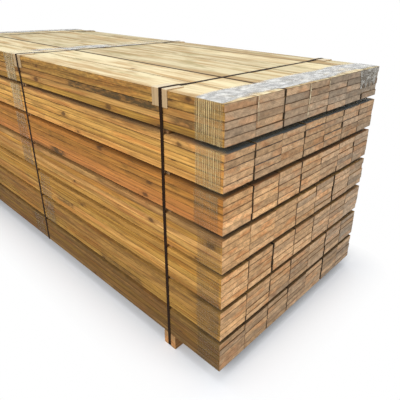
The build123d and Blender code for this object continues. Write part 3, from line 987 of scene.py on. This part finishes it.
def strap_tree():
    """Geometry Nodes: a flat strap with rounded edges along each closed loop."""
    tree, add, given = geometry_tree("strapping", "Width", "Thickness", "Edge", "Wander", "Seed",
                                     "Material")
    section = add("GeometryNodeFilletCurve",
                  sockets={"Curve": add("GeometryNodeCurvePrimitiveQuadrilateral", given["Width"],
                                        given["Thickness"]), "Radius": given["Edge"]})
    strap = add("GeometryNodeCurveToMesh",
                sockets={"Curve": add("GeometryNodeMeshToCurve", given["Geometry"]),
                         "Profile Curve": section})
    strap = add("GeometryNodeStoreNamedAttribute FLOAT_VECTOR",
                sockets={"Geometry": strap, "Name": "strap_at",
                         "Value": add("CombineXYZ",
                                      add("SeparateXYZ",
                                          add("GeometryNodeInputPosition")).outputs["X"],
                                      add("GeometryNodeInputNamedAttribute FLOAT",
                                          sockets={"Name": "run_at"}))})
    # The strap wanders a little to either side on its way round
    spot = add("VectorMath MULTIPLY", add("GeometryNodeInputPosition"), (0.0, 1.6, 1.6))
    noise = add("TexNoise 4D",
                sockets={"Vector": spot, "W": given["Seed"], "Scale": 1.0, "Detail": 1.0})
    sideways = add("Math MULTIPLY", add("Math ADD", noise, -0.5), given["Wander"])
    sideways = add("Math ADD", sideways,
                   add("GeometryNodeInputNamedAttribute FLOAT", sockets={"Name": "drift"}))
    strap = add("GeometryNodeSetPosition",
                sockets={"Geometry": strap, "Offset": add("CombineXYZ", sideways)})
    strap = add("GeometryNodeSetShadeSmooth", sockets={"Geometry": strap, "Shade Smooth": False})
    add("NodeGroupOutput",
        add("GeometryNodeSetMaterial",
            sockets={"Geometry": add("GeometryNodeRealizeInstances", strap),
                     "Material": given["Material"]}))
    return tree


def strapping():
    """Extruded PET strap: near-black, satin, embossed with a waffle 3 mm apart (drawn 4 mm)."""
    made, add, shader = new_material("embossed_black_polyester_strap")
    at = add("SeparateXYZ", add("Attribute", attribute_name="strap_at").outputs["Vector"])
    pitch = 2 * math.pi / (4 * MM)
    waffle = add("Math MULTIPLY", add("Math SINE", add("Math MULTIPLY", at.outputs["X"], pitch)),
                 add("Math SINE", add("Math MULTIPLY", at.outputs["Y"], pitch)))
    dust = add("TexNoise",
               sockets={"Vector": add("TexCoord").outputs["Object"], "Scale": 45.0, "Detail": 4.0})
    shade = add("Mix RGBA", add("MapRange", dust, 0.45, 0.8, 0.0, 0.5), linear("#24150A"),
                linear("#3A2817"))
    bump = add("Bump", sockets={"Height": waffle, "Strength": 0.5, "Distance": 0.15 * MM})
    feed(shader, sockets={"Base Color": shade, "Roughness": 0.55, "Specular IOR Level": 0.04,
                          "Normal": bump})
    return made


strap_bands = strap_tree()
strap_plastic = strapping()
strap_thick, strap_slope, snug_gap = 0.8 * MM, 60 * MM, 0.3 * MM
timber_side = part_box("slats_tier_7")[1].y
timber_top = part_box("slats_tier_7")[1].z
# How far each strap has crept along the slats as it was pulled tight, in millimetres: at the
# foot of the near side, at the near edge and at the far edge. It runs true through its seal.
creep = {"near": (-2, 6, -16), "middle": (3, 3, -12), "far": (0, -5, 8)}
creep_floor = 0.7

def crept(y, z, foot, near_edge, far_edge):
    """Creep at a point of the strap: it grows up the sides and runs evenly over the top."""
    over = min(1.0, max(0.0, (y + timber_side) / (2 * timber_side)))
    up = min(1.0, max(0.0, (z - creep_floor) / (timber_top - creep_floor)))
    low_end = foot * (1 - over)
    return (low_end + (near_edge + (far_edge - near_edge) * over - low_end) * up) * MM

for number, place in enumerate(("near", "middle", "far")):
    node = "strap_" + place
    low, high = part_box(node)
    foot, near_edge, far_edge = creep[place]
    leg_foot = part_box(f"edge_protector_{place}_right")[0]
    mid = strap_thick / 2
    snug, proud = timber_side + snug_gap + mid, high.y - mid
    flat_top, crest = timber_top + snug_gap + mid, high.z - mid
    half = [(snug, low.z + mid), (snug, leg_foot.z - strap_slope), (proud, leg_foot.z),
            (proud, crest), (leg_foot.y, crest), (leg_foot.y - strap_slope, flat_top)]
    path = winding(half + [(-y, z) for y, z in reversed(half)], radius=1.4 * MM, step=40 * MM)
    middle_x = (low.x + high.x) / 2
    drift = partial(crept, foot=foot, near_edge=near_edge, far_edge=far_edge)
    loop = loop_mesh(node + "_loop", [(middle_x, path)], drift)
    strap = grow("tight_" + node, loop, strap_bands, **{
        "Width": high.x - low.x, "Thickness": strap_thick, "Edge": 0.3 * MM,
        "Wander": 1 * MM, "Seed": 11.0 + number, "Material": strap_plastic})
    settle(strap, node)


# Seals
# Galvanised steel sleeves, folded round the overlap of each strap and crimped by a notching tool,
# halfway up the far side. Two pairs of notches bite into the strap's edges.

def galvanised_steel():
    """Cold-rolled strip, hot-dip galvanised: light grey metal with a soft spangle."""
    made, add, shader = new_material("galvanised_steel_seal")
    spangle = add("TexVoronoi",
                  sockets={"Vector": add("TexCoord").outputs["Object"], "Scale": 350.0})
    shade = add("Mix RGBA", add("SeparateColor", spangle.outputs["Color"]).outputs[0],
                linear("#B9BCC0"), linear("#8F9398"))
    feed(shader, sockets={"Base Color": shade, "Metallic": 1.0, "Roughness": 0.38})
    return made


zinc = galvanised_steel()
steel = 1.0 * MM
for place in ("near", "middle", "far"):
    node = "seal_" + place
    low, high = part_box(node)
    middle_x, half_x = (low.x + high.x) / 2, (high.x - low.x) / 2
    rings = []
    for step in range(25):
        along = step / 24
        # Notches at a third and two thirds of the length pull the edges in and down
        bite = max(0.0, 1 - abs(abs(along - 0.5) - 0.18) / 0.06)
        reach = half_x - 1.6 * MM * bite
        crown = high.y - 0.25 * MM * bite
        z = low.z + (high.z - low.z) * along
        ring = []
        for sign in (-1, 1):
            corner = [(reach, low.y), (reach, crown - steel),
                      (reach - 0.3 * steel, crown - 0.3 * steel), (reach - steel, crown)]
            if sign > 0:
                corner.reverse()
            ring += [(middle_x + sign * x, y, z) for x, y in corner]
        inner = half_x - steel
        ring += [(middle_x + inner - 1.2 * MM * bite, low.y, z),
                 (middle_x + inner - 1.2 * MM * bite, crown - steel, z),
                 (middle_x - inner + 1.2 * MM * bite, crown - steel, z),
                 (middle_x - inner + 1.2 * MM * bite, low.y, z)]
        rings.append(ring)
    seal = loft("crimped_" + node, rings)
    seal.data.materials.append(zinc)
    settle(seal, node)


# Floor, light and camera
# A plain pale floor under a soft sky, large soft lamps in front, above and beyond the end, and
# the camera where the photographer stood, a little above the bundle's top.

def pale_floor():
    """Plain pale floor: white to the camera away from the object, but it keeps the shadow."""
    made, add, shader = new_material("pale_floor")
    # Distance from the bundle's outline on the floor
    outside = add("VectorMath SUBTRACT",
                  add("VectorMath ABSOLUTE", add("TexCoord").outputs["Object"]),
                  (cad_box[1].x, cad_box[1].y, 0.0))
    outside = add("VectorMath MAXIMUM", outside, (0.0, 0.0, 0.0))
    reach = add("VectorMath LENGTH", outside).outputs["Value"]
    away = add("MapRange", reach, 0.0, 0.23)
    seen = add("LightPath")
    shown = add("Math MAXIMUM", seen.outputs["Is Camera Ray"], seen.outputs["Is Glossy Ray"])
    plain = add("Mix RGBA", shown, linear("#9A9A9A"), linear("#EAEBED"))
    feed(shader, sockets={"Base Color": plain, "Roughness": 0.9, "Specular IOR Level": 0.0})
    mixed = add("MixShader", add("Math MULTIPLY", away, shown), shader,
                add("Emission", (1.0, 1.0, 1.0, 1.0), 1.0))
    feed(made.node_tree.nodes["Material Output"], sockets={"Surface": mixed})
    return made


disc = bmesh.new()
bmesh.ops.create_circle(disc, cap_ends=True, cap_tris=False, segments=96, radius=30.0)
floor_mesh = bpy.data.meshes.new("floor")
disc.to_mesh(floor_mesh)
disc.free()
floor = bpy.data.objects.new("floor", floor_mesh)
floor_mesh.materials.append(pale_floor())
bpy.context.scene.collection.objects.link(floor)

world = bpy.data.worlds.new("soft_sky")
bpy.context.scene.world = world
world.use_nodes = True
sky = world.node_tree
sky.nodes.clear()
add = partial(add_node, sky)
ray = add("LightPath")
white_rays = add("Math MAXIMUM", ray.outputs["Is Camera Ray"], ray.outputs["Is Glossy Ray"])
white_rays = add("Math MAXIMUM", white_rays, ray.outputs["Is Transmission Ray"])
soft_blue = add("Background", (0.93, 0.96, 1.0, 1.0), 0.52)
white = add("Background", (1.0, 1.0, 1.0, 1.0), 1.0)
add("OutputWorld", add("MixShader", white_rays, soft_blue, white))


def soft_lamp(name, place, aim, size, power):
    """A square soft box at place, turned to aim."""
    lamp = bpy.data.lights.new(name, "AREA")
    lamp.shape, lamp.size, lamp.energy = "SQUARE", size, power
    lit = bpy.data.objects.new(name, lamp)
    lit.location = place
    lit.rotation_euler = (Vector(aim) - Vector(place)).to_track_quat("-Z", "Y").to_euler()
    bpy.context.scene.collection.objects.link(lit)


soft_lamp("soft_box_front", (2.2, -5.0, 4.2), (0.2, 0.0, 0.5), 3.5, 260.0)
soft_lamp("soft_box_above", (0.5, -0.5, 6.5), (0.0, 0.0, 0.5), 4.0, 130.0)
soft_lamp("soft_box_end", (6.0, 0.5, 3.0), (0.6, 0.0, 0.5), 3.0, 105.0)

view = bpy.data.cameras.new("camera")
view.sensor_width = 36.0
view.lens = 36.384
view.shift_x, view.shift_y = -0.0556, -0.0592
view.clip_start, view.clip_end = 0.05, 100.0
camera = bpy.data.objects.new("camera", view)
camera.location = (2.0832, -1.3645, 1.3751)
camera.rotation_euler = [math.radians(a) for a in (66.173, -1.186, 42.172)]
bpy.context.scene.collection.objects.link(camera)
bpy.context.scene.camera = camera
bpy.context.scene.view_settings.view_transform = "Standard"
